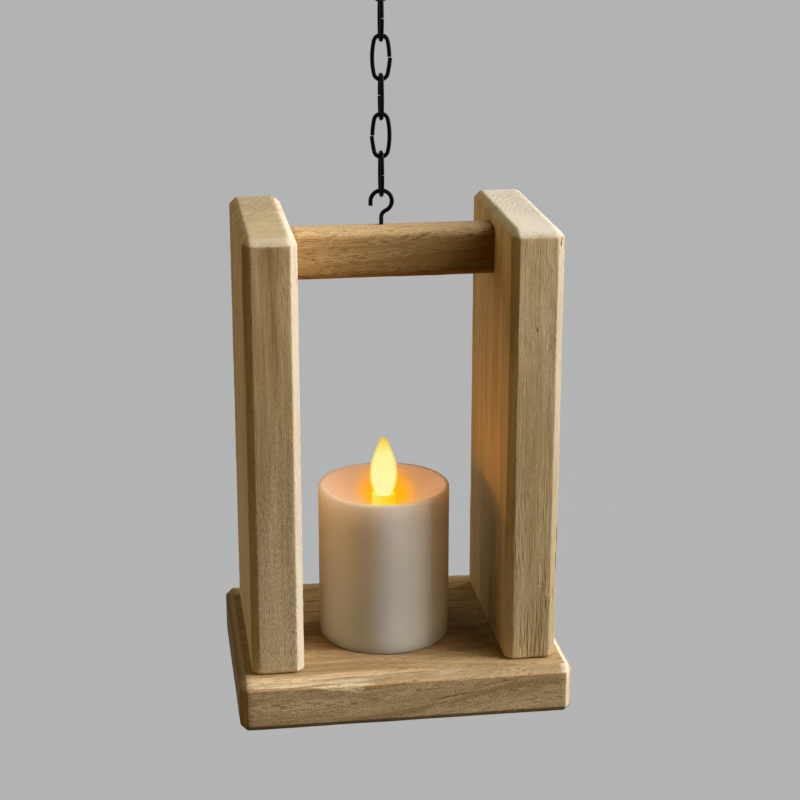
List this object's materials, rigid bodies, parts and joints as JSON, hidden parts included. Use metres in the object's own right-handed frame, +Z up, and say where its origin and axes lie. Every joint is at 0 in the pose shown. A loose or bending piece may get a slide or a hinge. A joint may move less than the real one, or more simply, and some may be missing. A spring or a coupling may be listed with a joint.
{
  "type": "hanging lantern",
  "caption": "Open wooden hanging lantern: thick base board, two uprights and a crossbar, hung by a black chain and screw hooks, with a flameless battery pillar candle.",
  "frame": {"origin": "on the hanging line, in the ceiling face that the ceiling hook's shank enters", "axes": "+Z up along the chain, +X to the lantern's right-hand upright, +Y to the back"},
  "size_m": [0.19, 0.144, 0.476],
  "materials": {
    "black_steel": "matt black coat on bent wire",
    "pale_wood": "sanded, oiled pale hardwood",
    "dowel_wood": "raw fluted dowel",
    "screw_steel": "zinc plated",
    "candle_wax": "smooth ivory wax",
    "flame": "frosted, lit from inside",
    "socket": "clear amber, lit from inside",
    "led_resin": "clear resin",
    "black_plastic": "moulded",
    "white_plastic": "moulded",
    "switch_metal": "bent sheet",
    "contact_metal": "nickel plated strip",
    "cell_case": "plain sleeve",
    "board_green": "printed circuit board",
    "chip_black": "moulded",
    "wire_red": "insulated wire"
  },
  "bodies": {
    "ceiling": {"ceiling_hook": "black_steel"},
    "link_1": {"chain_link_1": "black_steel"},
    "link_2": {"chain_link_2": "black_steel"},
    "link_3": {"chain_link_3": "black_steel"},
    "link_4": {"chain_link_4": "black_steel"},
    "link_5": {"chain_link_5": "black_steel"},
    "link_6": {"chain_link_6": "black_steel"},
    "link_7": {"chain_link_7": "black_steel"},
    "lantern": {"screw_hook": "black_steel", "crossbar": "pale_wood", "crossbar_dowels": "dowel_wood", "left_upright": "pale_wood", "right_upright": "pale_wood", "base_board": "pale_wood", "base_screws": "screw_steel"},
    "candle": {"candle_shell": "candle_wax", "flame_lens": "flame", "flame_socket": "socket", "led": "led_resin", "led_post": "white_plastic", "led_leads": "contact_metal", "circuit_board": "board_green", "control_chip": "chip_black", "battery_tray": "black_plastic", "battery_cells": "cell_case", "bridge_contact": "contact_metal", "plus_contact": "contact_metal", "minus_contact": "contact_metal", "candle_base": "black_plastic", "tray_screws": "screw_steel", "switch_body": "switch_metal", "switch_wires": "wire_red"},
    "battery_door": {"battery_door": "black_plastic"},
    "switch": {"switch_knob": "black_plastic"}
  },
  "joints": [
    {"name": "link_1_swing", "type": "hinge", "parent": "ceiling", "child": "link_1", "pos_m": [0, 0, -0.0189], "axis": [1, 0, 0], "range_deg": [-30, 30]},
    {"name": "link_2_swing", "type": "hinge", "parent": "link_1", "child": "link_2", "pos_m": [0, 0, -0.04025], "axis": [0, 1, 0], "range_deg": [-30, 30]},
    {"name": "link_3_swing", "type": "hinge", "parent": "link_2", "child": "link_3", "pos_m": [0, 0, -0.06165], "axis": [1, 0, 0], "range_deg": [-30, 30]},
    {"name": "link_4_swing", "type": "hinge", "parent": "link_3", "child": "link_4", "pos_m": [0, 0, -0.08305], "axis": [0, 1, 0], "range_deg": [-30, 30]},
    {"name": "link_5_swing", "type": "hinge", "parent": "link_4", "child": "link_5", "pos_m": [0, 0, -0.10445], "axis": [1, 0, 0], "range_deg": [-30, 30]},
    {"name": "link_6_swing", "type": "hinge", "parent": "link_5", "child": "link_6", "pos_m": [0, 0, -0.12585], "axis": [0, 1, 0], "range_deg": [-30, 30]},
    {"name": "link_7_swing", "type": "hinge", "parent": "link_6", "child": "link_7", "pos_m": [0, 0, -0.14725], "axis": [1, 0, 0], "range_deg": [-30, 30]},
    {"name": "lantern_swing", "type": "hinge", "parent": "link_7", "child": "lantern", "pos_m": [0, 0, -0.16865], "axis": [0, 1, 0], "range_deg": [-30, 30]},
    {"name": "candle_slide", "type": "slide", "parent": "lantern", "child": "candle", "axis": [0, -1, 0], "range_m": [0, 0.12]},
    {"name": "battery_door_twist", "type": "hinge", "parent": "candle", "child": "battery_door", "pos_m": [-0.0004, -0.01, -0.4244], "axis": [0, 0, 1], "range_deg": [0, 30]},
    {"name": "switch_slide", "type": "slide", "parent": "candle", "child": "switch", "axis": [0, 1, 0], "range_m": [0, 0.004]}
  ]
}
